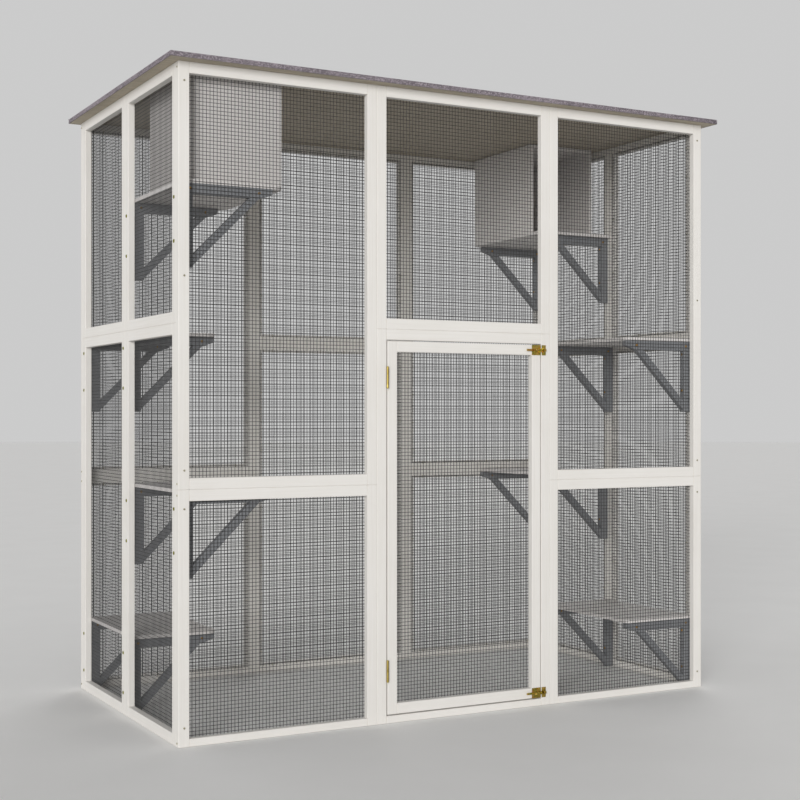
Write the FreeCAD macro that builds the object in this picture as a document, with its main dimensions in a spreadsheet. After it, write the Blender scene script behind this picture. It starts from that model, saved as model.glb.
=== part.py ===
import FreeCAD, Part
import os
import re

# Walk-in outdoor cat enclosure: framed wire panels, a felted flat roof,
# a hinged door with two barrel bolts, wall shelves on brackets and two nest boxes.
# X runs along the front, Y to the back, Z up; the origin is under the middle of the roof.

doc = FreeCAD.newDocument("CatEnclosure")
sheet = doc.addObject("Spreadsheet::Sheet", "Sizes")

sizes = {
    # Walls
    "column_width": 579,
    "side_panel": 436,
    "wall_height": 1780,
    "low_seam": 668,
    "door_seam": 1102,
    "stick_width": 30,
    "stick_thick": 20,
    "front_sill": 21,
    # Wire nets behind the frames
    "wire_thick": 1,
    "mesh_gap": 2,
    "net_pitch": 50,
    "net_strip": 3,
    # Roof
    "deck_thick": 12,
    "felt_thick": 3,
    "roof_side": 35,
    "roof_front": 38,
    "roof_rear": 20,
    # Door and its hinges
    "door_gap": 3.3,
    "leaf_thick": 1.2,
    "leaf_depth": 16,
    "hinge_height": 60,
    "hinge_rise": 92,
    "hinge_drop": 72,
    "knuckle_radius": 3.2,
    "knuckle_gap": 0.4,
    "pin_radius": 1.5,
    "pin_clear": 0.1,
    "pin_end": 1.5,
    # Barrel bolts
    "plate_thick": 1.2,
    "plate_width": 30,
    "plate_tall": 30,
    "strap_width": 3,
    "strap_wall": 1.5,
    "bolt_radius": 3,
    "bolt_clear": 0.3,
    "bolt_rise": 0.5,
    "stem_radius": 1.5,
    "stop_gap": 0.5,
    "knob_radius": 3.5,
    "knob_reach": 11,
    "keeper_inset": 1,
    "keeper_width": 14,
    "keeper_strap": 8,
    # Wall shelves and their brackets, level by level from the top
    "level_one_foot": 1248,
    "level_two_foot": 871,
    "level_three_foot": 434,
    "level_four_foot": 0.5,
    "bracket_height": 222,
    "low_bracket_height": 216,
    "bracket_reach": 254,
    "bracket_stick": 28,
    "bracket_thick": 20,
    "brace_width": 20,
    "brace_foot": 5.7,
    "tip_run": 34,
    "tip_rise": 12,
    "board_thick": 10,
    "board_width": 256,
    "nest_board_width": 287,
    "board_depth": 442,
    "board_corner": 24,
    "board_gap": 3,
    # Nest boxes
    "nest_width": 250,
    "nest_depth": 368,
    "nest_wall": 10,
    "nest_back": 16,
    "nest_gap": 2,
    # Screw heads
    "head_radius": 5,
    "head_top": 3.4,
    "head_height": 1.4,
    "screw_drop": 39,
    "screw_pitch": 115,
    "pin_screw_radius": 2.8,
    "pin_screw_top": 1.8,
    "frame_screw_inset": 16,
    "frame_screw_end": 50,
    "plate_screw_radius": 1.7,
    "plate_screw_top": 1.1,
    "plate_screw_height": 0.8,
    "plate_screw_side": 8,
    "plate_screw_end": 4,
}
for row, (alias, value) in enumerate(sizes.items(), start=1):
    sheet.set("A%d" % row, alias.replace("_", " "))
    sheet.set("B%d" % row, str(value))
    sheet.setAlias("B%d" % row, alias)
doc.recompute()

nodes = []
alias_word = re.compile(r"[a-z]+(?:_[a-z]+)+")

X_AXIS = FreeCAD.Vector(1, 0, 0)
Y_AXIS = FreeCAD.Vector(0, 1, 0)

# Planes that the pieces are placed from
LEFT = "(-1.5 * column_width)"
RIGHT = "(1.5 * column_width)"
FRONT = "(-side_panel - stick_thick + (roof_front - roof_rear) / 2)"
BACK = "(side_panel + stick_thick + (roof_front - roof_rear) / 2)"
FRONT_IN = "(%s + stick_thick)" % FRONT
BACK_IN = "(%s - stick_thick)" % BACK
SIDE_MID = "(%s + side_panel)" % FRONT_IN
LAP = "(stick_width - stick_thick - mesh_gap)"
INSIDE = "(stick_thick + wire_thick)"
DOOR_LEFT = "(-0.5 * column_width + stick_width + door_gap)"
DOOR_RIGHT = "(0.5 * column_width - stick_width - door_gap)"
DOOR_LOW = "(front_sill + door_gap)"
DOOR_TOP = "(door_seam - stick_width - door_gap)"
LEVELS = ["level_one_foot", "level_two_foot", "level_three_foot", "level_four_foot"]


def bind(obj, prop, text):
    obj.setExpression(prop, alias_word.sub(lambda found: "Sizes." + found.group(0), text))


def place(obj, x, y, z):
    bind(obj, "Placement.Base.x", x)
    bind(obj, "Placement.Base.y", y)
    bind(obj, "Placement.Base.z", z)


def box(name, x, y, z, length, width, height):
    obj = doc.addObject("Part::Box", name)
    bind(obj, "Length", length)
    bind(obj, "Width", width)
    bind(obj, "Height", height)
    place(obj, x, y, z)
    return obj


def cylinder(name, turn, x, y, z, radius, height):
    obj = doc.addObject("Part::Cylinder", name)
    obj.Placement = FreeCAD.Placement(FreeCAD.Vector(), turn)
    bind(obj, "Radius", radius)
    bind(obj, "Height", height)
    place(obj, x, y, z)
    return obj


def cone(name, turn, x, y, z, wide, narrow, height):
    obj = doc.addObject("Part::Cone", name)
    obj.Placement = FreeCAD.Placement(FreeCAD.Vector(), turn)
    bind(obj, "Radius1", wide)
    bind(obj, "Radius2", narrow)
    bind(obj, "Height", height)
    place(obj, x, y, z)
    return obj


def fuse(name, members):
    obj = doc.addObject("Part::MultiFuse", name)
    obj.Shapes = members
    return obj


def cut(name, base, tool):
    obj = doc.addObject("Part::Cut", name)
    obj.Base = base
    obj.Tool = tool
    return obj


def keep(obj, label):
    obj.Label = label
    nodes.append(obj)
    return obj


def group(label, members):
    obj = doc.addObject("Part::Compound", label)
    obj.Links = members
    return keep(obj, label)


ALONG_X = FreeCAD.Rotation(Y_AXIS, 90)
TOWARD_LEFT = FreeCAD.Rotation(Y_AXIS, -90)
TOWARD_RIGHT = FreeCAD.Rotation(Y_AXIS, 90)
TOWARD_FRONT = FreeCAD.Rotation(X_AXIS, 90)
TOWARD_BACK = FreeCAD.Rotation(X_AXIS, -90)
UPRIGHT = FreeCAD.Rotation()
# Turns a half cylinder so that it lies along X with its round side to the front
FRONT_HALF = FreeCAD.Rotation(FreeCAD.Vector(1, 0, 1), 180)


# Framed panels: two stiles over the full height, two rails between them

def wall_box(name, along, start, face, z, length, thick, height):
    if along == "x":
        return box(name, start, face, z, length, thick, height)
    return box(name, face, start, z, thick, length, height)


def panel(label, along, low, high, face, bottom, top, sill="stick_width"):
    tall = "%s - %s" % (top, bottom)
    clear = "%s - %s - 2 * stick_width" % (high, low)
    inner = "%s + stick_width" % low
    far = "%s - stick_width" % high
    head = "%s - stick_width" % top
    sticks = [
        wall_box(label + "_stile_a", along, low, face, bottom, "stick_width", "stick_thick", tall),
        wall_box(label + "_stile_b", along, far, face, bottom, "stick_width", "stick_thick", tall),
        wall_box(label + "_rail_a", along, inner, face, bottom, clear, "stick_thick", sill),
        wall_box(label + "_rail_b", along, inner, face, head, clear, "stick_thick", "stick_width"),
    ]
    return group(label, sticks)


def net_blank(label, along, low, high, face, bottom, top, sill="stick_width"):
    start = "%s + stick_width - %s" % (low, LAP)
    length = "%s - %s - 2 * stick_width + 2 * %s" % (high, low, LAP)
    z = "%s + %s - %s" % (bottom, sill, LAP)
    height = "%s - %s - %s - stick_width + 2 * %s" % (top, bottom, sill, LAP)
    blank = wall_box(label + "_blank", along, start, face, z, length, "wire_thick", height)
    return (along, blank)


def column(number):
    low = "((%d - 1.5) * column_width)" % number
    high = "((%d - 0.5) * column_width)" % number
    return low, high


front_blanks = []
back_blanks = []
left_blanks = []
right_blanks = []
back_net_face = "(%s - wire_thick)" % BACK_IN
left_net_face = "(%s + stick_thick)" % LEFT
right_face = "(%s - stick_thick)" % RIGHT
right_net_face = "(%s - stick_thick - wire_thick)" % RIGHT
outer_columns = [("left", 0), ("right", 2)]

for name, number in outer_columns:
    low, high = column(number)
    panel("front_%s_lower" % name, "x", low, high, FRONT, "0", "low_seam", "front_sill")
    panel("front_%s_upper" % name, "x", low, high, FRONT, "low_seam", "wall_height")
    front_blanks.append(net_blank("front_%s_lower_net" % name, "x", low, high, FRONT_IN,
                                  "0", "low_seam", "front_sill"))
    front_blanks.append(net_blank("front_%s_upper_net" % name, "x", low, high, FRONT_IN,
                                  "low_seam", "wall_height"))
    panel("back_%s_lower" % name, "x", low, high, BACK_IN, "0", "low_seam")
    panel("back_%s_upper" % name, "x", low, high, BACK_IN, "low_seam", "wall_height")
    back_blanks.append(net_blank("back_%s_lower_net" % name, "x", low, high, back_net_face,
                                 "0", "low_seam"))
    back_blanks.append(net_blank("back_%s_upper_net" % name, "x", low, high, back_net_face,
                                 "low_seam", "wall_height"))

low, high = column(1)
panel("door_jamb", "x", low, high, FRONT, "0", "door_seam", "front_sill")
panel("front_transom", "x", low, high, FRONT, "door_seam", "wall_height")
front_blanks.append(net_blank("front_transom_net", "x", low, high, FRONT_IN,
                              "door_seam", "wall_height"))
panel("back_middle_lower", "x", low, high, BACK_IN, "0", "door_seam")
panel("back_middle_upper", "x", low, high, BACK_IN, "door_seam", "wall_height")
back_blanks.append(net_blank("back_middle_lower_net", "x", low, high, back_net_face,
                             "0", "door_seam"))
back_blanks.append(net_blank("back_middle_upper_net", "x", low, high, back_net_face,
                             "door_seam", "wall_height"))

side_walls = [("left", LEFT, left_net_face, left_blanks), ("right", right_face, right_net_face, right_blanks)]
side_halves = [("front", FRONT_IN, SIDE_MID), ("rear", SIDE_MID, BACK_IN)]
for wall, face, net_face, blanks in side_walls:
    for half, low, high in side_halves:
        name = "%s_%s" % (wall, half)
        panel(name + "_lower", "y", low, high, face, "0", "door_seam")
        panel(name + "_upper", "y", low, high, face, "door_seam", "wall_height")
        blanks.append(net_blank(name + "_lower_net", "y", low, high, net_face, "0", "door_seam"))
        blanks.append(net_blank(name + "_upper_net", "y", low, high, net_face,
                                "door_seam", "wall_height"))

# Door leaf, hung inside the jamb with the same gap all round
panel("door_leaf", "x", DOOR_LEFT, DOOR_RIGHT, FRONT, DOOR_LOW, DOOR_TOP)
door_blank = net_blank("door_net", "x", DOOR_LEFT, DOOR_RIGHT, FRONT_IN, DOOR_LOW, DOOR_TOP)

doc.recompute()


# Wire nets: each sheet is one face with rows of square gaps, made as thick as the wire

def size(alias):
    return float(sheet.get(alias))


def net_sheet(along, blank, base):
    length = blank.Length.Value if along == "x" else blank.Width.Value
    height = blank.Height.Value
    across = FreeCAD.Vector(1, 0, 0) if along == "x" else FreeCAD.Vector(0, 1, 0)
    through = FreeCAD.Vector(0, 1, 0) if along == "x" else FreeCAD.Vector(1, 0, 0)
    up = FreeCAD.Vector(0, 0, 1)
    corner = blank.Placement.Base - base
    strip = size("net_strip")

    def rectangle(u_low, u_high, v_low, v_high):
        loop = [(u_low, v_low), (u_high, v_low), (u_high, v_high), (u_low, v_high), (u_low, v_low)]
        return [corner + across * u + up * v for u, v in loop]

    columns = max(1, int(length / size("net_pitch")))
    rows = max(1, int(height / size("net_pitch")))
    step_u = (length - strip) / columns
    step_v = (height - strip) / rows
    wires = [Part.makePolygon(rectangle(0, length, 0, height))]
    for i in range(columns):
        for j in range(rows):
            u = strip + i * step_u
            v = strip + j * step_v
            gap = rectangle(u, u + step_u - strip, v, v + step_v - strip)
            wires.append(Part.makePolygon(gap[::-1]))
    sheet_solid = Part.Face(wires).extrude(through * size("wire_thick"))
    print("net gaps", blank.Name, columns * rows)
    return sheet_solid


def net(label, blanks):
    base = blanks[0][1].Placement.Base
    sheets = [net_sheet(along, blank, base) for along, blank in blanks]
    obj = doc.addObject("Part::Feature", label)
    obj.Shape = sheets[0] if len(sheets) == 1 else Part.makeCompound(sheets)
    obj.Placement = FreeCAD.Placement(base, FreeCAD.Rotation())
    return keep(obj, label)


net("front_mesh", front_blanks)
net("back_mesh", back_blanks)
net("left_mesh", left_blanks)
net("right_mesh", right_blanks)
net("door_mesh", [door_blank])

# Roof: a deck board with felt over its top and edges
roof_length = "3 * column_width + 2 * roof_side"
roof_depth = "2 * side_panel + 2 * stick_thick + roof_front + roof_rear"
roof_x = "%s - roof_side" % LEFT
roof_y = "%s - roof_front" % FRONT
keep(box("roof_deck", roof_x + " + felt_thick", roof_y + " + felt_thick", "wall_height",
         roof_length + " - 2 * felt_thick", roof_depth + " - 2 * felt_thick", "deck_thick"), "roof_deck")
felt_blank = box("felt_blank", roof_x, roof_y, "wall_height", roof_length, roof_depth, "deck_thick + felt_thick")
felt_room = box("felt_room", roof_x + " + felt_thick", roof_y + " + felt_thick", "wall_height",
                roof_length + " - 2 * felt_thick", roof_depth + " - 2 * felt_thick", "deck_thick")
keep(cut("roof_felt", felt_blank, felt_room), "roof_felt")


# Wall shelves: a board on two triangular brackets, the brackets against the wall's posts.
# The brace stands at 45 degrees, and the arm's free end has its lower corner cut off.

def bracket(name, wall, centre, foot, tall):
    near = "%s - bracket_thick / 2" % centre
    arm_z = "%s + %s - bracket_stick" % (foot, tall)
    run = "(bracket_reach - bracket_stick)"
    climb = "(%s - bracket_stick)" % tall
    brace_climb = "(%s - brace_foot)" % climb
    tip_length = "sqrt(tip_run ^ 2 + tip_rise ^ 2)"
    tip_out = "bracket_stick * tip_rise / " + tip_length
    tip_down = "bracket_stick * tip_run / " + tip_length
    brace = doc.addObject("Part::Box", name + "_brace_blank")
    bind(brace, "Length", brace_climb + " * sqrt(2)")
    bind(brace, "Width", "bracket_thick")
    bind(brace, "Height", "brace_width")
    tip = doc.addObject("Part::Box", name + "_tip_cutter")
    bind(tip, "Length", "2 * " + tip_length)
    bind(tip, "Width", "2 * bracket_thick")
    bind(tip, "Height", "bracket_stick")
    if wall == "left":
        arm_x = "%s + %s" % (LEFT, INSIDE)
        post_x = arm_x
        room_x = arm_x + " + bracket_stick"
        brace.Placement = FreeCAD.Placement(FreeCAD.Vector(), FreeCAD.Rotation(Y_AXIS * -1, 45))
        place(brace, room_x, near, foot + " + brace_foot")
        tip.Placement = FreeCAD.Placement(FreeCAD.Vector(), FreeCAD.Rotation(Y_AXIS * -1, 20))
        place(tip, "%s + bracket_reach - tip_run + %s" % (arm_x, tip_out), "%s - bracket_thick" % centre,
              "%s - %s" % (arm_z, tip_down))
    else:
        arm_x = "%s - %s - bracket_reach" % (RIGHT, INSIDE)
        post_x = "%s - %s - bracket_stick" % (RIGHT, INSIDE)
        room_x = arm_x
        brace.Placement = FreeCAD.Placement(FreeCAD.Vector(), FreeCAD.Rotation(Y_AXIS, 45))
        place(brace, "%s - %s" % (post_x, brace_climb), near, arm_z)
        tip.Placement = FreeCAD.Placement(FreeCAD.Vector(), FreeCAD.Rotation(Y_AXIS, 20))
        place(tip, "%s - %s" % (arm_x, tip_out), "%s - bracket_thick" % centre,
              "%s + tip_rise - %s" % (arm_z, tip_down))
    bind(tip, "Placement.Rotation.Angle", "atan(tip_rise / tip_run)")
    arm_blank = box(name + "_arm_blank", arm_x, near, arm_z, "bracket_reach", "bracket_thick", "bracket_stick")
    arm = cut(name + "_arm", arm_blank, tip)
    post = box(name + "_post", post_x, near, foot, "bracket_stick", "bracket_thick", climb)
    room = box(name + "_brace_room", room_x, near, foot, run, "bracket_thick", climb)
    trimmed = doc.addObject("Part::Common", name + "_brace")
    trimmed.Base = brace
    trimmed.Tool = room
    return [arm, post, trimmed]


def board(name, wall, y, z, width):
    straight = "%s - board_corner" % width
    if wall == "left":
        wide_x = "%s + %s" % (LEFT, INSIDE)
        strip_x = "%s + %s" % (wide_x, straight)
        corner_x = strip_x
    else:
        strip_x = "%s - %s - %s" % (RIGHT, INSIDE, width)
        wide_x = strip_x + " + board_corner"
        corner_x = wide_x
    pieces = [
        box(name + "_wide", wide_x, y, z, straight, "board_depth", "board_thick"),
        box(name + "_strip", strip_x, y + " + board_corner", z,
            "board_corner", "board_depth - 2 * board_corner", "board_thick"),
        cylinder(name + "_corner_a", UPRIGHT, corner_x, y + " + board_corner", z, "board_corner", "board_thick"),
        cylinder(name + "_corner_b", UPRIGHT, corner_x, y + " + board_depth - board_corner", z,
                 "board_corner", "board_thick"),
    ]
    obj = fuse(name, pieces)
    obj.Refine = True
    return keep(obj, name)


def head(name, turn, x, y, z, kind):
    if kind == "bracket":
        return cone(name, turn, x, y, z, "head_radius", "head_top", "head_height")
    if kind == "frame":
        return cone(name, turn, x, y, z, "pin_screw_radius", "pin_screw_top", "head_height")
    return cone(name, turn, x, y, z, "plate_screw_radius", "plate_screw_top", "plate_screw_height")


front_posts = ["(%s + stick_width / 2)" % FRONT_IN, "(%s - stick_width / 2)" % SIDE_MID]
rear_posts = ["(%s + stick_width / 2)" % SIDE_MID, "(%s - stick_width / 2)" % BACK_IN]
front_board_y = "(%s + wire_thick + board_gap)" % FRONT_IN
rear_board_y = "(%s - wire_thick - board_gap - board_depth)" % BACK_IN
bracket_heads = []

for wall in ["left", "right"]:
    for level, foot in enumerate(LEVELS):
        in_front = (level % 2 == 0) == (wall == "left")
        posts = front_posts if in_front else rear_posts
        tall = "low_bracket_height" if foot == LEVELS[-1] else "bracket_height"
        name = "%s_shelf_%d" % (wall, level + 1)
        pieces = []
        for end, centre in zip("ab", posts):
            pieces += bracket("%s_bracket_%s" % (name, end), wall, centre, foot, tall)
            for drop in ["screw_drop", "(screw_drop + screw_pitch)"]:
                turn = TOWARD_LEFT if wall == "left" else TOWARD_RIGHT
                bracket_heads.append(head("bracket_head", turn, LEFT if wall == "left" else RIGHT, centre,
                                          "%s + %s - %s" % (foot, tall, drop), "bracket"))
        group(name + "_brackets", pieces)
        board(name + "_board", wall, front_board_y if in_front else rear_board_y, "%s + %s" % (foot, tall),
              "nest_board_width" if level == 0 else "board_width")
group("bracket_screws", bracket_heads)

# Nest boxes on the two top shelves: open to the other half of their wall, closed at the far end
nest_z = "(level_one_foot + bracket_height + board_thick)"
nest_tall = "(wall_height - nest_gap - nest_wall - %s)" % nest_z
for wall in ["left", "right"]:
    if wall == "left":
        nest_x = "(%s + %s + nest_board_width - nest_width)" % (LEFT, INSIDE)
        nest_y = "(%s + nest_back)" % front_board_y
        end_y = nest_y
    else:
        nest_x = "(%s - %s - nest_board_width)" % (RIGHT, INSIDE)
        nest_y = "(%s + board_depth - nest_back - nest_depth)" % rear_board_y
        end_y = "%s + nest_depth - nest_wall" % nest_y
    name = wall + "_nest"
    side_far = "%s + nest_width - nest_wall" % nest_x
    walls = [
        box(name + "_side_a", nest_x, nest_y, nest_z, "nest_wall", "nest_depth", nest_tall),
        box(name + "_side_b", side_far, nest_y, nest_z, "nest_wall", "nest_depth", nest_tall),
        box(name + "_end", nest_x + " + nest_wall", end_y, nest_z,
            "nest_width - 2 * nest_wall", "nest_wall", nest_tall),
    ]
    group(name + "_walls", walls)
    keep(box(name + "_top", nest_x, nest_y, "wall_height - nest_gap - nest_wall",
             "nest_width", "nest_depth", "nest_wall"), name + "_top")

# Butt hinges in the door's left gap, the knuckles just in front of the face
hinge_x = "(%s - door_gap / 2)" % DOOR_LEFT
hinge_y = "(%s - knuckle_radius - knuckle_gap)" % FRONT
knuckle_tall = "((hinge_height - 2 * knuckle_gap) / 3)"
jamb_edge = "(%s - door_gap)" % DOOR_LEFT
hinge_feet = ["(%s + hinge_rise)" % DOOR_LOW, "(%s - hinge_drop - hinge_height)" % DOOR_TOP]
leaf_y = "%s + knuckle_gap" % FRONT
tab_depth = "knuckle_radius + 2 * knuckle_gap"
leaves = {"frame": [], "door": []}
pins = []
for number, foot in enumerate(hinge_feet):
    middle = "%s + %s + knuckle_gap" % (foot, knuckle_tall)
    upper = "%s + 2 * %s + 2 * knuckle_gap" % (foot, knuckle_tall)
    for side, leaf_x, starts in [
        ("frame", jamb_edge, [foot, upper]),
        ("door", "%s - leaf_thick" % DOOR_LEFT, [middle]),
    ]:
        name = "hinge_%s_%d" % (side, number)
        pieces = [box(name + "_leaf", leaf_x, leaf_y, foot,
                      "leaf_thick", "leaf_depth - knuckle_gap", "hinge_height")]
        for start in starts:
            pieces.append(box(name + "_tab", leaf_x, hinge_y, start, "leaf_thick", tab_depth, knuckle_tall))
            pieces.append(cylinder(name + "_knuckle", UPRIGHT, hinge_x, hinge_y, start,
                                   "knuckle_radius", knuckle_tall))
        bore = cylinder(name + "_bore", UPRIGHT, hinge_x, hinge_y, foot + " - pin_end",
                        "pin_radius + pin_clear", "hinge_height + 2 * pin_end")
        leaves[side].append(cut(name, fuse(name + "_body", pieces), bore))
    pins.append(cylinder("hinge_pin_%d" % number, UPRIGHT, hinge_x, hinge_y, foot + " - pin_end",
                         "pin_radius", "hinge_height + 2 * pin_end"))
group("hinge_frame_leaves", leaves["frame"])
group("hinge_door_leaves", leaves["door"])
group("hinge_pins", pins)

# Barrel bolts on the door's free edge, drawn back at rest, and their keepers on the jamb
bolt_y = "(%s - plate_thick - bolt_rise - bolt_radius)" % FRONT
plate_y = "(%s - plate_thick)" % FRONT
plate_x = "(%s - plate_width)" % DOOR_RIGHT
keeper_x = "(%s + door_gap + keeper_inset)" % DOOR_RIGHT
travel = "(plate_width - 2 * (strap_width + stem_radius + stop_gap))"
strap_radius = "(bolt_radius + bolt_clear + strap_wall)"


def strap(name, x, width, z):
    arch = doc.addObject("Part::Cylinder", name + "_arch")
    arch.Placement = FreeCAD.Placement(FreeCAD.Vector(), FRONT_HALF)
    bind(arch, "Radius", strap_radius)
    bind(arch, "Height", width)
    bind(arch, "Angle", "180")
    place(arch, x, bolt_y, z)
    foot = box(name + "_foot", x, bolt_y, "%s - %s" % (z, strap_radius), width,
               "bolt_radius + bolt_rise", "2 * " + strap_radius)
    return [arch, foot]


housings = []
keepers = []
door_heads = []
keeper_heads = []
bolt_levels = [("lower", "(%s + stick_width / 2)" % DOOR_LOW), ("upper", "(%s - stick_width / 2)" % DOOR_TOP)]
for name, level in bolt_levels:
    plate_z = "%s - plate_tall / 2" % level
    plate = box(name + "_plate", plate_x, plate_y, plate_z, "plate_width", "plate_thick", "plate_tall")
    pieces = [plate]
    pieces += strap(name + "_strap_a", plate_x, "strap_width", level)
    pieces += strap(name + "_strap_b", "%s - strap_width" % DOOR_RIGHT, "strap_width", level)
    bore = cylinder(name + "_bore", ALONG_X, plate_x, bolt_y, level, "bolt_radius + bolt_clear", "plate_width")
    housings.append(cut(name + "_housing", fuse(name + "_housing_body", pieces), bore))

    pieces = [box(name + "_keeper_plate", keeper_x, plate_y, plate_z,
                  "keeper_width", "plate_thick", "plate_tall")]
    pieces += strap(name + "_keeper_strap", "%s + (keeper_width - keeper_strap) / 2" % keeper_x,
                    "keeper_strap", level)
    bore = cylinder(name + "_keeper_bore", ALONG_X, keeper_x, bolt_y, level,
                    "bolt_radius + bolt_clear", "keeper_width")
    keepers.append(cut(name + "_keeper", fuse(name + "_keeper_body", pieces), bore))

    stem_x = "%s + strap_width + stop_gap + stem_radius" % plate_x
    rod = cylinder(name + "_rod", ALONG_X, "%s - %s" % (plate_x, travel), bolt_y, level,
                   "bolt_radius", "plate_width + %s" % travel)
    stem = cylinder(name + "_stem", TOWARD_FRONT, stem_x, bolt_y, level, "stem_radius", "knob_reach")
    knob = doc.addObject("Part::Sphere", name + "_knob")
    bind(knob, "Radius", "knob_radius")
    place(knob, stem_x, bolt_y + " - knob_reach", level)
    keep(fuse(name + "_bolt", [rod, stem, knob]), name + "_bolt")

    for lift in ["(plate_tall / 2 - plate_screw_end)", "(plate_screw_end - plate_tall / 2)"]:
        for x in ["%s + plate_screw_side" % plate_x, "%s - plate_screw_side" % DOOR_RIGHT]:
            door_heads.append(head("plate_head", TOWARD_FRONT, x, plate_y, "%s + %s" % (level, lift), "plate"))
        keeper_heads.append(head("keeper_head", TOWARD_FRONT, "%s + keeper_width / 2" % keeper_x, plate_y,
                                 "%s + %s" % (level, lift), "plate"))
group("bolt_housings", housings)
group("bolt_keepers", keepers)
group("bolt_plate_screws", door_heads)
group("keeper_screws", keeper_heads)

# Screw heads that hold the front and back walls to the side walls, and the rails to the corner stiles
frame_heads = []
wall_levels = [
    "frame_screw_end",
    "(low_seam - frame_screw_end)",
    "(low_seam + frame_screw_end)",
    "((low_seam + wall_height) / 2)",
    "(wall_height - frame_screw_end)",
]
rail_levels = {
    "front": ["front_sill / 2", "(low_seam - stick_width / 2)", "(low_seam + stick_width / 2)",
              "(wall_height - stick_width / 2)"],
    "back": ["stick_width / 2", "(low_seam - stick_width / 2)", "(low_seam + stick_width / 2)",
             "(wall_height - stick_width / 2)"],
}
for wall, face, turn, edge_y in [
    ("front", FRONT, TOWARD_FRONT, "%s + stick_thick / 2" % FRONT),
    ("back", BACK, TOWARD_BACK, "%s - stick_thick / 2" % BACK),
]:
    for x in ["%s + frame_screw_inset" % LEFT, "%s - frame_screw_inset" % RIGHT]:
        for z in wall_levels:
            frame_heads.append(head("frame_head", turn, x, face, z, "frame"))
    for x, side_turn in [(LEFT, TOWARD_LEFT), (RIGHT, TOWARD_RIGHT)]:
        for z in rail_levels[wall]:
            frame_heads.append(head("rail_head", side_turn, x, edge_y, z, "frame"))
group("frame_screws", frame_heads)

doc.recompute()

# Every object has to be sound before anything is written
for obj in doc.Objects:
    if "Invalid" in obj.State or "Error" in obj.State:
        raise RuntimeError("%s did not build" % obj.Label)
for obj in nodes:
    if obj.Shape.isNull() or not obj.Shape.isValid():
        raise RuntimeError("%s has no sound shape" % obj.Label)

os.makedirs("parts", exist_ok=True)
for obj in nodes:
    obj.Shape.exportStep("parts/%s.step" % obj.Label)
print("pieces written", len(nodes))
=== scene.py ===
import bpy, math
from mathutils import Matrix, Quaternion, Vector


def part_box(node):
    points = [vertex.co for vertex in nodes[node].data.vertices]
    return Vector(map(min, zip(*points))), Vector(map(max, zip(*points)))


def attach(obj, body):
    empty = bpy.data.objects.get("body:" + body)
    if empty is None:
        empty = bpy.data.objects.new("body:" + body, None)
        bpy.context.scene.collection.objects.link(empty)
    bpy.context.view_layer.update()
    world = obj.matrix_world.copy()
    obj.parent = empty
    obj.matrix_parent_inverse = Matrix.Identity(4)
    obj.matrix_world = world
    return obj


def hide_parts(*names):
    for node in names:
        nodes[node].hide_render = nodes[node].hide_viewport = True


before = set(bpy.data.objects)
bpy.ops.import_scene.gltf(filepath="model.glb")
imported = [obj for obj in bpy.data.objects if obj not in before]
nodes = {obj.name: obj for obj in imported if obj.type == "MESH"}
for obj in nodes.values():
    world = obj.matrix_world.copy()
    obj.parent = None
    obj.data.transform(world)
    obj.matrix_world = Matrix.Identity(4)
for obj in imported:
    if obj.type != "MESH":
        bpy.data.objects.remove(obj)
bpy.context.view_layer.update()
print("frame loaded,", len(nodes), "nodes")

wallSides = {"left": 1, "right": -1}  # each side wall's way inwards along X
shelves = range(1, 5)  # on each side wall, counted from the top
axisIndex = {"X": 0, "Y": 1}
frontFrames = ["front_left_lower", "front_left_upper", "front_right_lower", "front_right_upper",
               "front_transom"]
backFrames = ["back_left_lower", "back_left_upper", "back_middle_lower", "back_middle_upper",
              "back_right_lower", "back_right_upper"]
sideFrames = {w: [f"{w}_{half}_{row}" for half in ("front", "rear") for row in ("lower", "upper")]
              for w in wallSides}
weldGap = 0.00002  # joins the loose triangles of a CAD mesh
edgeSteps = 2  # segments on a softened edge
facing = 0.9  # a face looks along an axis when its normal has more than this of it


# selecting and finishing

def pick(*objs):
    if bpy.context.object and bpy.context.object.mode != "OBJECT":
        bpy.ops.object.mode_set(mode="OBJECT")
    bpy.ops.object.select_all(action="DESELECT")
    for o in objs:
        o.select_set(True)
    bpy.context.view_layer.objects.active = objs[0]


def joinAll(objs, name):  # place, turn and size go into the mesh
    pick(*objs)
    bpy.ops.object.transform_apply(location=True, rotation=True, scale=True)
    if len(objs) > 1:
        bpy.ops.object.join()
    joined = bpy.context.object
    joined.name = joined.data.name = name
    return joined


def settle(obj, name):  # the same for one piece
    return joinAll([obj], name)


def startChoice(obj, kind):
    pick(obj)
    bpy.ops.object.mode_set(mode="EDIT")
    bpy.ops.mesh.select_mode(type=kind)
    bpy.ops.mesh.select_all(action="DESELECT")
    bpy.ops.object.mode_set(mode="OBJECT")


def chooseFaces(obj, test):  # leaves edit mode on, with the faces that pass the test selected
    startChoice(obj, "FACE")
    for face in obj.data.polygons:
        face.select = test(face)
    bpy.ops.object.mode_set(mode="EDIT")


def chooseEdges(obj, test):  # the same for edges, the test gets an edge's two ends
    startChoice(obj, "EDGE")
    for edge in obj.data.edges:
        edge.select = test(*(obj.data.vertices[v].co for v in edge.vertices))
    bpy.ops.object.mode_set(mode="EDIT")


def apply(obj, name, kind, **settings):
    pick(obj)
    mod = obj.modifiers.new(name, kind)
    for key, value in settings.items():
        setattr(mod, key, value)
    bpy.ops.object.modifier_apply(modifier=name)


def copyTo(master, spots):  # spots are (place, turn, scale)
    made = []
    for place, turn, scale in spots:
        twin = master.copy()
        twin.data = master.data.copy()
        bpy.context.scene.collection.objects.link(twin)
        twin.location, twin.rotation_euler, twin.scale = place, turn, scale
        made.append(twin)
    return made


def dress(obj, mat, body=None):
    obj.data.materials.clear()
    obj.data.materials.append(mat)
    if body:
        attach(obj, body)
    return obj


# node shorthand

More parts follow.
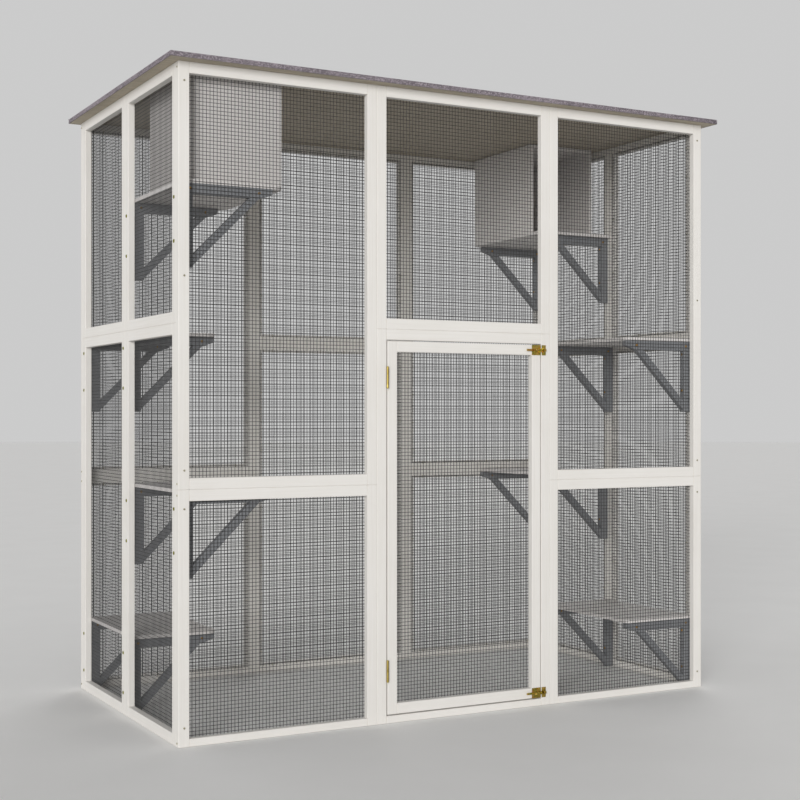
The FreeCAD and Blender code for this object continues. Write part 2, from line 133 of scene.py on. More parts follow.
def newMaterial(name, rough, metal=0.0):
    mat = bpy.data.materials.new(name)
    mat.use_nodes = True
    tree = mat.node_tree
    bsdf = tree.nodes["Principled BSDF"]
    bsdf.inputs["Roughness"].default_value = rough
    bsdf.inputs["Metallic"].default_value = metal
    return mat, tree, bsdf


def add(tree, kind, inputs, **settings):
    node = tree.nodes.new("ShaderNode" + kind)
    for key, value in settings.items():
        setattr(node, key, value)
    for key, value in inputs.items():
        if isinstance(value, bpy.types.NodeSocket):
            tree.links.new(value, node.inputs[key])
        else:
            node.inputs[key].default_value = value
    return node


def objectPlace(tree, stretch=(1, 1, 1)):
    place = add(tree, "TexCoord", {}).outputs["Object"]
    return add(tree, "Mapping", {"Vector": place, "Scale": stretch}).outputs[0]


def noise(tree, place, scale, detail=4, rough=0.55):
    return add(tree, "TexNoise", {"Vector": place, "Scale": scale, "Detail": detail,
                                  "Roughness": rough}).outputs["Fac"]


def remap(tree, value, span, to=(0, 1)):
    return add(tree, "MapRange", {"Value": value, "From Min": span[0], "From Max": span[1],
                                  "To Min": to[0], "To Max": to[1]}).outputs[0]


def sums(tree, how, a, b):
    return add(tree, "Math", {0: a, 1: b}, operation=how).outputs[0]


def blend(tree, share, a, b):  # 6, 7 and 2 are the mix node's colour sockets
    return add(tree, "Mix", {0: share, 6: a, 7: b}, data_type="RGBA").outputs[2]


def colourFrom(tree, bsdf, colour):
    tree.links.new(colour, bsdf.inputs["Base Color"])


def roughFrom(tree, bsdf, rough):
    tree.links.new(rough, bsdf.inputs["Roughness"])


def bumpFrom(tree, bsdf, height, strength, depth):
    bump = add(tree, "Bump", {"Height": height, "Strength": strength, "Distance": depth})
    tree.links.new(bump.outputs[0], bsdf.inputs["Normal"])


# camera, solved from the photograph's own lines
camera = {"place": (-2.0968, -3.9233, 0.8652), "turn": (90, 0, -28.40), "lens": 63.39,
          "sensor": 36, "rise": 0.01725, "seesTo": 200}

bpy.ops.object.camera_add(location=camera["place"],
                          rotation=[math.radians(a) for a in camera["turn"]])
eye = bpy.context.object
eye.data.lens = camera["lens"]
eye.data.sensor_width = camera["sensor"]
eye.data.shift_y = camera["rise"]
eye.data.clip_end = camera["seesTo"]
bpy.context.scene.camera = eye

# floor and light
plaster = {"pale": (0.85, 0.845, 0.835, 1), "paler": (0.87, 0.865, 0.855, 1), "rough": 0.9,
           "mottle": 3, "span": (0.3, 0.7), "radius": 40, "sides": 96, "drop": 0.0005}
studio = {"sky": (1.0, 1.0, 1.0, 1), "skyLight": 0.42, "skySeen": 0.60, "key": 2.4,
          "keyTurn": (80, 0, -42), "fill": 0.4, "fillTurn": (50, 0, 140), "spread": 26}

bpy.ops.mesh.primitive_circle_add(vertices=plaster["sides"], radius=plaster["radius"],
                                  fill_type="NGON", location=(0, 0, -plaster["drop"]))
floor = settle(bpy.context.object, "floor")
floorMat, tree, bsdf = newMaterial("palePlaster", plaster["rough"])
mottle = remap(tree, noise(tree, objectPlace(tree), plaster["mottle"]), plaster["span"])
colourFrom(tree, bsdf, blend(tree, mottle, plaster["pale"], plaster["paler"]))
dress(floor, floorMat)

for lamp in ("key", "fill"):
    bpy.ops.object.light_add(type="SUN", rotation=[math.radians(a) for a in studio[lamp + "Turn"]])
    bpy.context.object.data.energy = studio[lamp]
    bpy.context.object.data.angle = math.radians(studio["spread"])

world = bpy.data.worlds.new("studio")
bpy.context.scene.world = world
world.use_nodes = True
tree = world.node_tree
back = tree.nodes["Background"]
back.inputs["Color"].default_value = studio["sky"]
path = add(tree, "LightPath", {})
seen = sums(tree, "MAXIMUM", path.outputs["Is Camera Ray"],
            sums(tree, "MAXIMUM", path.outputs["Is Glossy Ray"],
                 path.outputs["Is Transmission Ray"]))
tree.links.new(remap(tree, seen, (0, 1), (studio["skyLight"], studio["skySeen"])),
               back.inputs["Strength"])
bpy.context.scene.view_settings.view_transform = "Standard"
print("camera, floor and light set")

# paint on softwood: fibres along each stick, every stick a little different, worn edges
paintTone = {"fibreSpan": (0.35, 0.7), "fibre": (0, 0.45), "patch": (0, 0.3), "own": (0, 0.25)}
edgeRub = {"samples": 4, "arrisSpan": (0.985, 0.80), "patchSpan": (0.42, 0.62)}
creamPaint = {"paint": (0.785, 0.762, 0.728, 1), "shade": (0.71, 0.682, 0.636, 1),
              "bare": (0.50, 0.37, 0.22, 1), "fibre": 210, "fibreDetail": 6, "fibreRough": 0.6,
              "thin": 0.025, "patch": 6, "patchDetail": 3, "patchSpan": (0.35, 0.7),
              "arris": 0.0024, "rub": 38, "rubDetail": 5, "rubShare": 0.3, "rough": 0.45,
              "roughSpan": (0.3, 0.7), "roughSwing": (-0.07, 0.11), "bump": 0.22, "deep": 0.0005}
greyCoat = {"fibre": 190, "fibreDetail": 5, "fibreRough": 0.6, "patch": 8, "patchDetail": 3,
            "patchSpan": (0.3, 0.7), "arris": 0.0018, "rub": 45, "rubDetail": 4, "rubShare": 0.6,
            "rough": 0.5, "roughSpan": (0.3, 0.7), "roughSwing": (-0.06, 0.12), "bump": 0.2,
            "deep": 0.0004}
darkGrey = {**greyCoat, "paint": (0.236, 0.242, 0.252, 1), "shade": (0.170, 0.175, 0.184, 1),
            "bare": (0.37, 0.37, 0.37, 1), "stretch": (0.2, 1, 0.2)}
lightGrey = {**greyCoat, "paint": (0.735, 0.705, 0.685, 1), "shade": (0.645, 0.615, 0.595, 1),
             "bare": (0.79, 0.765, 0.735, 1), "stretch": (1, 0.03, 1)}
nestGrey = {**lightGrey, "rough": 0.55}


def pieceOwn(tree):  # a number for each loose piece of a mesh
    return add(tree, "NewGeometry", {}).outputs["Random Per Island"]


def pieceGrain(tree, stretch):  # the piece's own stretch of fibre
    shift = add(tree, "CombineXYZ", {i: pieceOwn(tree) for i in range(3)}).outputs[0]
    place = add(tree, "TexCoord", {}).outputs["Object"]
    moved = add(tree, "VectorMath", {0: place, 1: shift}, operation="ADD").outputs[0]
    return add(tree, "Mapping", {"Vector": moved, "Scale": stretch}).outputs[0]


def edgeWear(tree, radius, patches):  # 1 on an arris, broken up by the patches
    soft = add(tree, "Bevel", {"Radius": radius}, samples=edgeRub["samples"]).outputs[0]
    flat = add(tree, "NewGeometry", {}).outputs["True Normal"]
    turned = add(tree, "VectorMath", {0: soft, 1: flat}, operation="DOT_PRODUCT").outputs["Value"]
    return sums(tree, "MULTIPLY", remap(tree, turned, edgeRub["arrisSpan"]),
                remap(tree, patches, edgeRub["patchSpan"]))


def paintedWood(name, look, stretch):
    mat, tree, bsdf = newMaterial(name, look["rough"])
    fibre = noise(tree, pieceGrain(tree, stretch), look["fibre"], look["fibreDetail"],
                  look["fibreRough"])
    patch = noise(tree, objectPlace(tree), look["patch"], look["patchDetail"])
    tone = sums(tree, "ADD", remap(tree, fibre, paintTone["fibreSpan"], paintTone["fibre"]),
                remap(tree, patch, look["patchSpan"], paintTone["patch"]))
    tone = sums(tree, "ADD", tone, remap(tree, pieceOwn(tree), (0, 1), paintTone["own"]))
    paint = blend(tree, tone, look["paint"], look["shade"])
    worn = edgeWear(tree, look["arris"],
                    noise(tree, objectPlace(tree), look["rub"], look["rubDetail"]))
    worn = sums(tree, "MULTIPLY", worn, look["rubShare"])
    colourFrom(tree, bsdf, blend(tree, worn, paint, look["bare"]))
    roughFrom(tree, bsdf, remap(tree, fibre, look["roughSpan"],
                                [look["rough"] + swing for swing in look["roughSwing"]]))
    bumpFrom(tree, bsdf, fibre, look["bump"], look["deep"])
    return mat


thin = creamPaint["thin"]
timberUpright = paintedWood("creamTimberUpright", creamPaint, (1, 1, thin))
timberLevel = {"X": paintedWood("creamTimberAcross", creamPaint, (thin, 1, 1)),
               "Y": paintedWood("creamTimberSides", creamPaint, (1, thin, 1))}
bracketPaint = paintedWood("darkGreyPaint", darkGrey, darkGrey["stretch"])
boardPaint = paintedWood("lightGreyPaint", lightGrey, lightGrey["stretch"])
nestPaint = paintedWood("nestGreyPaint", nestGrey, nestGrey["stretch"])

# black coat on the wire
wireCoat = {"dark": (0.010, 0.010, 0.010, 1), "pale": (0.026, 0.025, 0.024, 1), "mottle": 60,
            "detail": 3, "span": (0.35, 0.65), "rough": 0.42, "roughSpan": (0.3, 0.7),
            "roughTo": (0.34, 0.52)}
blackCoat, tree, bsdf = newMaterial("blackWireCoat", wireCoat["rough"])
coat = noise(tree, objectPlace(tree), wireCoat["mottle"], wireCoat["detail"])
colourFrom(tree, bsdf, blend(tree, remap(tree, coat, wireCoat["span"]), wireCoat["dark"],
                             wireCoat["pale"]))
roughFrom(tree, bsdf, remap(tree, coat, wireCoat["roughSpan"], wireCoat["roughTo"]))

# mineral felt: granules from dark to pale in a dull purple grey
feltLook = {"dark": (0.082, 0.069, 0.080, 1), "pale": (0.405, 0.352, 0.385, 1), "granule": 420,
            "contrast": 1.8, "granuleShare": 0.8, "patch": 5, "patchSpan": (0.3, 0.7),
            "patchShare": (0, 0.2), "rough": 0.92, "bump": 0.7, "deep": 0.0008}
mineralFelt, tree, bsdf = newMaterial("mineralFelt", feltLook["rough"])
grit = add(tree, "TexVoronoi", {"Vector": objectPlace(tree), "Scale": feltLook["granule"]})
shade = add(tree, "SeparateColor", {0: grit.outputs["Color"]}).outputs[0]
shade = sums(tree, "POWER", shade, feltLook["contrast"])
broad = noise(tree, objectPlace(tree), feltLook["patch"])
share = sums(tree, "ADD", sums(tree, "MULTIPLY", shade, feltLook["granuleShare"]),
             remap(tree, broad, feltLook["patchSpan"], feltLook["patchShare"]))
colourFrom(tree, bsdf, blend(tree, share, feltLook["dark"], feltLook["pale"]))
bumpFrom(tree, bsdf, grit.outputs["Distance"], feltLook["bump"], feltLook["deep"])

# brown board under the felt
deckLook = {"pale": (0.46, 0.405, 0.315, 1), "dark": (0.335, 0.29, 0.22, 1), "fibre": 120,
            "detail": 6, "fibreRough": 0.65, "stretch": (0.04, 1, 1), "span": (0.35, 0.7),
            "rough": 0.7, "bump": 0.3, "deep": 0.0005}
roofBoard, tree, bsdf = newMaterial("roofBoard", deckLook["rough"])
fibre = noise(tree, objectPlace(tree, deckLook["stretch"]), deckLook["fibre"], deckLook["detail"],
              deckLook["fibreRough"])
colourFrom(tree, bsdf, blend(tree, remap(tree, fibre, deckLook["span"]), deckLook["pale"],
                             deckLook["dark"]))
bumpFrom(tree, bsdf, fibre, deckLook["bump"], deckLook["deep"])

# plated metals, hazed in patches and rubbed upright
plating = {"hazeDetail": 5, "hazeRough": 0.6, "hazeSpan": (0.4, 0.68), "rub": 900, "rubDetail": 3,
           "rubStretch": (1, 1, 0.08), "roughSpan": (0.6, 1.4), "roughSwing": (-0.08, 0.16),
           "bump": 0.12, "deep": 0.0001}


def platedMetal(name, bright, dull, rough, haze):
    mat, tree, bsdf = newMaterial(name, rough, 1.0)
    patch = noise(tree, objectPlace(tree), haze, plating["hazeDetail"], plating["hazeRough"])
    rub = noise(tree, objectPlace(tree, plating["rubStretch"]), plating["rub"],
                plating["rubDetail"])
    colourFrom(tree, bsdf, blend(tree, remap(tree, patch, plating["hazeSpan"]), bright, dull))
    roughFrom(tree, bsdf, remap(tree, sums(tree, "ADD", patch, rub), plating["roughSpan"],
                                [rough + swing for swing in plating["roughSwing"]]))
    bumpFrom(tree, bsdf, rub, plating["bump"], plating["deep"])
    return mat


brass = platedMetal("brassPlate", bright=(0.46, 0.355, 0.10, 1), dull=(0.28, 0.205, 0.052, 1),
                    rough=0.34, haze=90)
bronze = platedMetal("bronzePlate", bright=(0.42, 0.26, 0.09, 1), dull=(0.28, 0.16, 0.05, 1),
                     rough=0.34, haze=160)
yellowZinc = platedMetal("yellowZinc", bright=(0.30, 0.29, 0.014, 1), dull=(0.18, 0.175, 0.010, 1),
                         rough=0.30, haze=160)
paleZinc = platedMetal("paleZinc", bright=(0.50, 0.47, 0.34, 1), dull=(0.34, 0.32, 0.23, 1),
                       rough=0.34, haze=160)

# passivated zinc on the bolts: a film that drifts from olive through gold to copper
zincFilm = {"olive": (0.24, 0.23, 0.025, 1), "gold": (0.50, 0.36, 0.085, 1),
            "copper": (0.50, 0.20, 0.045, 1), "film": 95, "filmSpan": (0.36, 0.64), "drift": 120,
            "driftSpan": (0.48, 0.70), "copperShare": (0, 0.8), "detail": 2, "rough": 0.26,
            "roughSpan": (0.3, 0.7), "roughTo": (0.18, 0.36), "grain": 700, "bump": 0.1,
            "deep": 0.0001}
passivatedZinc, tree, bsdf = newMaterial("passivatedZinc", zincFilm["rough"], 1.0)
film, drift, grain = (noise(tree, objectPlace(tree), zincFilm[size], zincFilm["detail"])
                      for size in ("film", "drift", "grain"))
base = blend(tree, remap(tree, film, zincFilm["filmSpan"]), zincFilm["olive"], zincFilm["gold"])
copper = remap(tree, drift, zincFilm["driftSpan"], zincFilm["copperShare"])
colourFrom(tree, bsdf, blend(tree, copper, base, zincFilm["copper"]))
roughFrom(tree, bsdf, remap(tree, drift, zincFilm["roughSpan"], zincFilm["roughTo"]))
bumpFrom(tree, bsdf, grain, zincFilm["bump"], zincFilm["deep"])
print("materials made")


# sawn sticks and boards, each cut to its place and its edges softened

def block(low, high, name):  # between two corners
    low, high = Vector(low), Vector(high)
    bpy.ops.object.select_all(action="DESELECT")
    bpy.ops.mesh.primitive_cube_add(size=1, location=(low + high) / 2, scale=high - low)
    return settle(bpy.context.object, name)


def stick(low, high, mat):
    piece = block(low, high, "stick")
    piece.data.materials.append(mat)
    return piece


def saw(piece, at, out):  # takes off what lies beyond the plane
    pick(piece)
    bpy.ops.object.mode_set(mode="EDIT")
    bpy.ops.mesh.select_all(action="SELECT")
    bpy.ops.mesh.bisect(plane_co=at, plane_no=out, use_fill=True, clear_outer=True)
    bpy.ops.object.mode_set(mode="OBJECT")


def soften(piece, by):
    pick(piece)
    bpy.ops.object.mode_set(mode="EDIT")
    bpy.ops.mesh.select_mode(type="EDGE")
    bpy.ops.mesh.select_all(action="SELECT")
    bpy.ops.mesh.bevel(offset=by, segments=edgeSteps, affect="EDGES")
    bpy.ops.object.mode_set(mode="OBJECT")
    return piece


# framed panels: two full stiles, two rails between them
frameStick = {"wide": 0.030, "sill": 0.021, "round": 0.0014}
lowSill = ("front_left_lower", "front_right_lower", "door_jamb")


def sillOf(name):
    return frameStick["sill"] if name in lowSill else frameStick["wide"]


def framePanel(name, axis, body):
    low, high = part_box(name)
    k, wide = axisIndex[axis], frameStick["wide"]
    near, far, bottom, top = low[k], high[k], low[2], high[2]
    level = timberLevel[axis]
    pieces = []
    for a, b, foot, head, mat in ((near, near + wide, bottom, top, timberUpright),
                                  (far - wide, far, bottom, top, timberUpright),
                                  (near + wide, far - wide, bottom, bottom + sillOf(name), level),
                                  (near + wide, far - wide, top - wide, top, level)):
        start, end = list(low), list(high)
        start[k], end[k], start[2], end[2] = a, b, foot, head
        pieces.append(soften(stick(start, end, mat), frameStick["round"]))
    panel = joinAll(pieces, name + "_sticks")
    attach(panel, body)
    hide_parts(name)


for name in frontFrames + ["door_jamb"] + backFrames:
    framePanel(name, "X", "enclosure")
for name in sideFrames["left"] + sideFrames["right"]:
    framePanel(name, "Y", "enclosure")
framePanel("door_leaf", "X", "door")
print("frames joined")

# brackets: arm with its free end cut back underneath, upright, brace at 45 degrees
bracketStick = {"wide": 0.028, "thick": 0.020, "brace": 0.020, "braceFoot": 0.0057,
                "braceTurn": 45, "braceUncut": 0.4, "tipRun": 0.034, "tipRise": 0.012,
                "round": 0.0012}


def bracket(wall, side, reach, near, bottom, top):
    wide, run = bracketStick["wide"], bracketStick["tipRun"]
    far, under, tip = near + bracketStick["thick"], top - wide, wall + side * reach
    arm = stick((min(wall, tip), near, under), (max(wall, tip), far, top), bracketPaint)
    saw(arm, (tip - side * run, near, under), (side * bracketStick["tipRise"], 0, -run))
    inner = wall + side * wide
    post = stick((min(wall, inner), near, bottom), (max(wall, inner), far, under), bracketPaint)
    half, long = bracketStick["brace"] / 2, bracketStick["braceUncut"] / 2
    turn = math.radians(bracketStick["braceTurn"])
    foot, lean = bottom + bracketStick["braceFoot"], half * math.sin(turn)
    lift = (under - foot) / 2
    brace = stick((-long, near, -half), (long, far, half), bracketPaint)
    brace.rotation_euler.y = -side * turn
    brace.location = (inner + side * (lift - lean), 0, foot + lift + lean)
    settle(brace, "brace")
    saw(brace, (inner, near, bottom), (-side, 0, 0))
    saw(brace, (inner, near, under), (0, 0, 1))
    return [soften(piece, bracketStick["round"]) for piece in (arm, post, brace)]


for w, side in wallSides.items():
    for k in shelves:
        name = f"{w}_shelf_{k}_brackets"
        low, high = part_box(name)
        wall = low[0] if side > 0 else high[0]
        pieces = []
        for near in (low[1], high[1] - bracketStick["thick"]):
            pieces += bracket(wall, side, high[0] - low[0], near, low[2], high[2])
        pair = joinAll(pieces, name.replace("brackets", "bracket_pair"))
        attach(pair, "enclosure")
        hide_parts(name)
print("brackets joined")

# nest walls: two sides and the closed end between them
nestWall = {"thick": 0.010, "round": 0.0012}

for w in wallSides:
    low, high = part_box(f"{w}_nest_walls")
    thick = nestWall["thick"]
    endNear = low[1] if w == "left" else high[1] - thick
    endFar = endNear + thick
    pieces = [stick(low, (low[0] + thick, high[1], high[2]), nestPaint),
              stick((high[0] - thick, low[1], low[2]), high, nestPaint),
              stick((low[0] + thick, endNear, low[2]), (high[0] - thick, endFar, high[2]), nestPaint)]
    nest = joinAll([soften(piece, nestWall["round"]) for piece in pieces], f"{w}_nest_boards")
    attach(nest, "enclosure")
    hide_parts(f"{w}_nest_walls")
print("nests joined")

# finishes on the kept solids, with softened edges on the boards
boardEdge = {"shelf": 0.0012, "roof": 0.001, "sharperThan": 40}
metalNodes = ((("hinge_frame_leaves", "hinge_door_leaves", "hinge_pins"), brass),
              (("upper_bolt", "lower_bolt", "bolt_housings", "bolt_keepers"), passivatedZinc))


def finishBoard(name, mat, by):
    node = dress(nodes[name], mat)
    weld = node.modifiers.new("weld", "WELD")
    weld.merge_threshold = weldGap
    edge = node.modifiers.new("edge", "BEVEL")
    edge.width, edge.segments = by, edgeSteps
    edge.limit_method, edge.angle_limit = "ANGLE", math.radians(boardEdge["sharperThan"])


for w in wallSides:
    for k in shelves:
        finishBoard(f"{w}_shelf_{k}_board", boardPaint, boardEdge["shelf"])
    finishBoard(f"{w}_nest_top", nestPaint, boardEdge["shelf"])
finishBoard("roof_deck", roofBoard, boardEdge["roof"])
for names, metal in metalNodes:
    for name in names:
        dress(nodes[name], metal)
print("solids finished")

# welded wire net, one straight wire drawn once for each row
wireNet = {"pitch": 0.010, "thick": 0.0015, "sides": 6, "lap": 0.008, "weld": 0.0010, "smooth": 70}
netWalls = {  # axis along the wall, plane of the frames' backs, way inwards, body, frames
    "front": ("X", -0.427, 1, "enclosure", frontFrames),
    "back": ("X", 0.445, -1, "enclosure", backFrames),
    "left": ("Y", -0.8485, 1, "enclosure", sideFrames["left"]),
    "right": ("Y", 0.8485, -1, "enclosure", sideFrames["right"]),
    "door": ("X", -0.427, 1, "door", ["door_leaf"]),
}


def netField(name, axis):  # the frame's open field, widened by the lap onto its sticks
    low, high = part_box(name)
    k, wide, lap = axisIndex[axis], frameStick["wide"], wireNet["lap"]
    return (low[k] + wide - lap, high[k] - wide + lap,
            low[2] + sillOf(name) - lap, high[2] - wide + lap)


def wireRow(axis, at, upright, low, high, first, last):  # wires from low to high, set side by side
    k, pitch = axisIndex[axis], wireNet["pitch"]
    count = int((last - first) / pitch) + 1
    start = (first + last - (count - 1) * pitch) / 2
    middle, shift = [0, 0, 0], [0, 0, 0]
    middle[1 - k] = at
    if upright:
        middle[k], middle[2], shift[k], turn = start, (low + high) / 2, pitch, (0, 0, 0)
    else:
        middle[k], middle[2], shift[2] = (low + high) / 2, start, pitch
        turn = (0, math.pi / 2, 0) if axis == "X" else (math.pi / 2, 0, 0)
    bpy.ops.object.select_all(action="DESELECT")
    bpy.ops.mesh.primitive_cylinder_add(vertices=wireNet["sides"], radius=wireNet["thick"] / 2,
                                        depth=high - low, location=middle, rotation=turn)
    wire = settle(bpy.context.object, "wire")
    apply(wire, "row", "ARRAY", use_relative_offset=False, use_constant_offset=True,
          constant_offset_displace=shift, count=count)
    return wire


for wall, (axis, plane, inward, body, names) in netWalls.items():
    outer = plane + inward * wireNet["thick"] / 2
    inner = outer + inward * wireNet["weld"]
    rows = []
    for name in names:
        lowU, highU, lowZ, highZ = netField(name, axis)
        rows.append(wireRow(axis, outer, True, lowZ, highZ, lowU, highU))
        rows.append(wireRow(axis, inner, False, lowU, highU, lowZ, highZ))
    net = joinAll(rows, f"{wall}_wire_net")
    pick(net)
    bpy.ops.object.shade_smooth_by_angle(angle=math.radians(wireNet["smooth"]))
    dress(net, blackCoat, body)
    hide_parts(f"{wall}_mesh")
print("nets drawn")

# felt folded down over the roof's edges, its hem just short of the board's underside
feltCover = {"sunk": 0.0003, "hem": 0.0004, "fold": 0.0032, "thick": 0.0020, "wave": 0.0008,
             "waveSize": 0.16, "fine": 3, "smooth": 35, "level": 0.001}

low, high = (Vector(c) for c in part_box("roof_felt"))
high.z -= feltCover["sunk"]
low.z += feltCover["hem"]
felt = block(low, high, "felt_cover")
chooseFaces(felt, lambda face: face.normal.z < -facing)
bpy.ops.mesh.delete(type="FACE")
chooseEdges(felt, lambda a, b: min(a.z, b.z) > low.z + feltCover["level"]
            or abs(a.z - b.z) > feltCover["level"])  # all but the hem
bpy.ops.mesh.bevel(offset=feltCover["fold"], segments=edgeSteps, affect="EDGES")
apply(felt, "fine", "SUBSURF", subdivision_type="SIMPLE", levels=feltCover["fine"],
      render_levels=feltCover["fine"])
wave = bpy.data.textures.new("feltWave", "CLOUDS")
wave.noise_scale = feltCover["waveSize"]
apply(felt, "wave", "DISPLACE", texture=wave, strength=feltCover["wave"], mid_level=1.0)
apply(felt, "wall", "SOLIDIFY", thickness=feltCover["thick"], offset=-1)
pick(felt)
bpy.ops.object.shade_smooth_by_angle(angle=math.radians(feltCover["smooth"]))
dress(felt, mineralFelt, "enclosure")
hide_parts("roof_felt")
print("felt laid")

# screw heads: a pan head of unit radius, with and without its cross, copied to every place
panHead = {"sides": 12, "rise": 0.36, "crown": 0.18, "slotLong": 1.1, "slotWide": 0.26,
           "slotDeep": 0.22, "spin": (40, 70, 110)}

bpy.ops.object.select_all(action="DESELECT")
bpy.ops.mesh.primitive_cylinder_add(vertices=panHead["sides"], radius=1, depth=panHead["rise"],
                                    location=(0, 0, panHead["rise"] / 2))
nailHead = settle(bpy.context.object, "nailHead")
chooseFaces(nailHead, lambda face: face.normal.z > facing)
bpy.ops.mesh.bevel(offset=panHead["crown"], segments=1, affect="EDGES")
pick(nailHead)
screwHead, = copyTo(nailHead, [((0, 0, 0), (0, 0, 0), (1, 1, 1))])
for turn in (0, math.pi / 2):
    bpy.ops.object.select_all(action="DESELECT")
    bpy.ops.mesh.primitive_cube_add(size=1, location=(0, 0, panHead["rise"]), rotation=(0, 0, turn),
                                    scale=(panHead["slotLong"], panHead["slotWide"],
                                           2 * panHead["slotDeep"]))
    bar = settle(bpy.context.object, "bar")
    apply(screwHead, "cross", "BOOLEAN", operation="DIFFERENCE", object=bar, solver="EXACT")
    bpy.data.objects.remove(bar)


def headSpot(place, out, radius, rise):  # each head turned a little differently, by its place
    place = Vector(place)
    spin = Quaternion((0, 0, 1), sum(rate * at for rate, at in zip(panHead["spin"], place)))
    turn = Vector(out).to_track_quat("Z", "Y") @ spin
    return place, turn.to_euler(), (radius, radius, rise / panHead["rise"])


def looseHeads(name):  # lowest and highest corner of each head in a CAD node
    pick(nodes[name])
    bpy.ops.object.duplicate()
    bpy.ops.object.mode_set(mode="EDIT")
    bpy.ops.mesh.select_all(action="SELECT")
    bpy.ops.mesh.remove_doubles(threshold=weldGap)
    bpy.ops.mesh.separate(type="LOOSE")
    bpy.ops.object.mode_set(mode="OBJECT")
    corners = []
    for part in bpy.context.selected_objects:
        ends = [part.matrix_world @ v.co for v in part.data.vertices]
        corners.append([Vector([extreme(e[i] for e in ends) for i in range(3)])
                        for extreme in (min, max)])
    bpy.ops.object.delete()
    return sorted(corners, key=lambda c: tuple(c[0]))


def fitHeads(name, mat, body):
    spots = []
    for low, high in looseHeads(name):
        size, middle, out = high - low, (low + high) / 2, Vector((0, 0, 0))
        k = min(range(3), key=lambda i: size[i])  # a head is flattest along its screw
        out[k] = 1 if middle[k] > 0 else -1
        middle[k] = low[k] if out[k] > 0 else high[k]
        spots.append(headSpot(middle, out, max(size) / 2, size[k]))
    heads = joinAll(copyTo(screwHead, spots), name.replace("screws", "screw_heads"))
    dress(heads, mat, body)
    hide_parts(name)
    return spots


wallScrews = fitHeads("bracket_screws", yellowZinc, "enclosure")
fitHeads("frame_screws", paleZinc, "enclosure")
fitHeads("bolt_plate_screws", brass, "door")
fitHeads("keeper_screws", brass, "enclosure")

# the brackets' own screws, through their joints and through the uprights from inside
bracketScrews = {"radius": 0.0038, "rise": 0.0014, "fromWall": (0.020, 0.215), "below": 0.014,
                 "upright": 0.8195}
spots = []
for w, side in wallSides.items():
    for k in shelves:
        low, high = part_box(f"{w}_shelf_{k}_brackets")
        wall = low[0] if side > 0 else high[0]
        level = high[2] - bracketScrews["below"]
        for face in (low[1], high[1] - bracketStick["thick"]):
            for reach in bracketScrews["fromWall"]:
                spots.append(headSpot((wall + side * reach, face, level), (0, -1, 0),
                                      bracketScrews["radius"], bracketScrews["rise"]))
for place, _, _ in wallScrews:
    side = -1 if place.x > 0 else 1
    spots.append(headSpot((-side * bracketScrews["upright"], place.y, place.z), (side, 0, 0),
                          bracketScrews["radius"], bracketScrews["rise"]))
dress(joinAll(copyTo(screwHead, spots), "bracket_joint_screws"), bronze, "enclosure")

# two flat screws in each hinge leaf
hingeScrews = {"radius": 0.0026, "rise": 0.0003, "deep": -0.4385, "apart": 0.036,
               "fromEnd": 0.030,
               "leaves": {"frame": (-0.2583, 1, "enclosure"), "door": (-0.2574, -1, "door")}}
low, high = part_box("hinge_frame_leaves")
middles = (low[2] + hingeScrews["fromEnd"], high[2] - hingeScrews["fromEnd"])
for leaf, (face, out, body) in hingeScrews["leaves"].items():
    spots = [headSpot((face, hingeScrews["deep"], middle + step * hingeScrews["apart"] / 2),
                      (out, 0, 0), hingeScrews["radius"], hingeScrews["rise"])
             for middle in middles for step in (-1, 1)]
    dress(joinAll(copyTo(screwHead, spots), f"hinge_{leaf}_screws"), brass, body)

# clout nails round the felt, the corners in the long rows
cloutNails = {"radius": 0.0048, "rise": 0.0016, "top": 1.7948, "inset": 0.035, "every": 0.15}
low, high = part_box("roof_felt")
inset = cloutNails["inset"]
level = cloutNails["top"] - cloutNails["rise"]
spots = []
for k in (0, 1):
    first, last = low[k] + inset, high[k] - inset
    steps = round((last - first) / cloutNails["every"])
    for n in range(steps + 1) if k == 0 else range(1, steps):
        along = first + (last - first) * n / steps
        for side in (low[1 - k] + inset, high[1 - k] - inset):
            spots.append(headSpot((along, side, level) if k == 0 else (side, along, level),
                                  (0, 0, 1), cloutNails["radius"], cloutNails["rise"]))
dress(joinAll(copyTo(nailHead, spots), "felt_nails"), paleZinc, "enclosure")
bpy.data.objects.remove(nailHead)
bpy.data.objects.remove(screwHead)
print("screws and nails driven")

# staples that hold the nets to the backs of the frames
netStaple = {"wide": 0.009, "thick": 0.0010, "stand": 0.0034, "every": 0.095, "inset": 0.0048,
             "clear": 0.006}

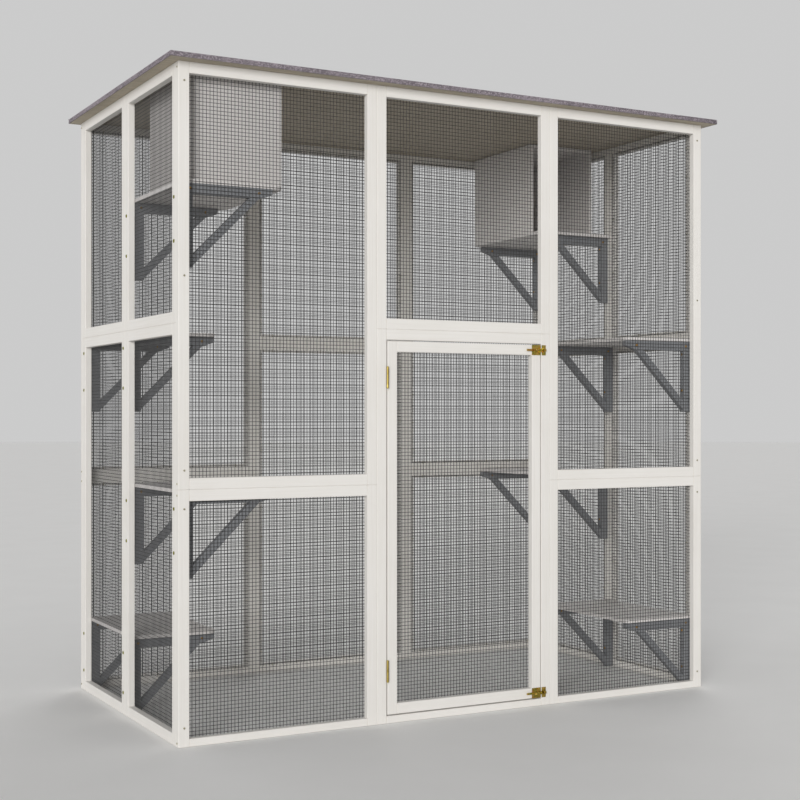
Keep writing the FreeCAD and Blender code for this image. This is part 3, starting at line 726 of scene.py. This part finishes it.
thick, wide, stand = netStaple["thick"], netStaple["wide"], netStaple["stand"]
bpy.ops.object.select_all(action="DESELECT")
bpy.ops.mesh.primitive_cube_add(size=thick, location=((thick - wide) / 2, 0, stand - thick / 2))
staple = settle(bpy.context.object, "staple")
chooseFaces(staple, lambda face: face.normal.x > facing)
for run in (wide - 2 * thick, thick):  # the crown, then the corner over the second leg
    bpy.ops.mesh.extrude_region_move(TRANSFORM_OT_translate={"value": (run, 0, 0)})
chooseFaces(staple, lambda face: face.normal.z < -facing and abs(face.center.x) > wide / 2 - thick)
bpy.ops.mesh.extrude_region_move(TRANSFORM_OT_translate={"value": (0, 0, thick - stand)})
pick(staple)

covered = []  # where a bracket or board lies against a side wall
for w in wallSides:
    for k in shelves:
        low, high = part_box(f"{w}_shelf_{k}_brackets")
        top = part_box(f"{w}_shelf_{k}_board")[1][2]
        for start in (low[1], high[1] - bracketStick["thick"]):
            covered.append((w, start, start + bracketStick["thick"], low[2], top))


def isCovered(wall, along, z):
    clear = netStaple["clear"]
    return any(w == wall and near - clear < along < far + clear and low - clear < z < high + clear
               for w, near, far, low, high in covered)


def stapleSpot(axis, plane, inward, along, z, upright):
    k = axisIndex[axis]
    place, crown, out = Vector((0, 0, z)), Vector((0, 0, 1)), Vector((0, 0, 0))
    place[k], place[1 - k], out[1 - k] = along, plane, inward
    if upright:  # crown across the stick's edge
        crown = Vector((0, 0, 0))
        crown[k] = 1
    turn = Matrix((crown, out.cross(crown), out)).transposed()
    return place, turn.to_euler(), (1, 1, 1)


shift = wireNet["lap"] - netStaple["inset"]
for wall, (axis, plane, inward, body, names) in netWalls.items():
    spots = []
    for name in names:
        lowU, highU, lowZ, highZ = netField(name, axis)
        for lines, first, last, upright in (((lowU + shift, highU - shift), lowZ, highZ, True),
                                            ((lowZ + shift, highZ - shift), lowU, highU, False)):
            steps = round((last - first) / netStaple["every"])
            for n in range(steps):
                step = first + (last - first) * (n + 0.5) / steps
                for line in lines:
                    along, z = (line, step) if upright else (step, line)
                    if not isCovered(wall, along, z):
                        spots.append(stapleSpot(axis, plane, inward, along, z, upright))
    dress(joinAll(copyTo(staple, spots), f"{wall}_staples"), paleZinc, body)
bpy.data.objects.remove(staple)
print("nets stapled")
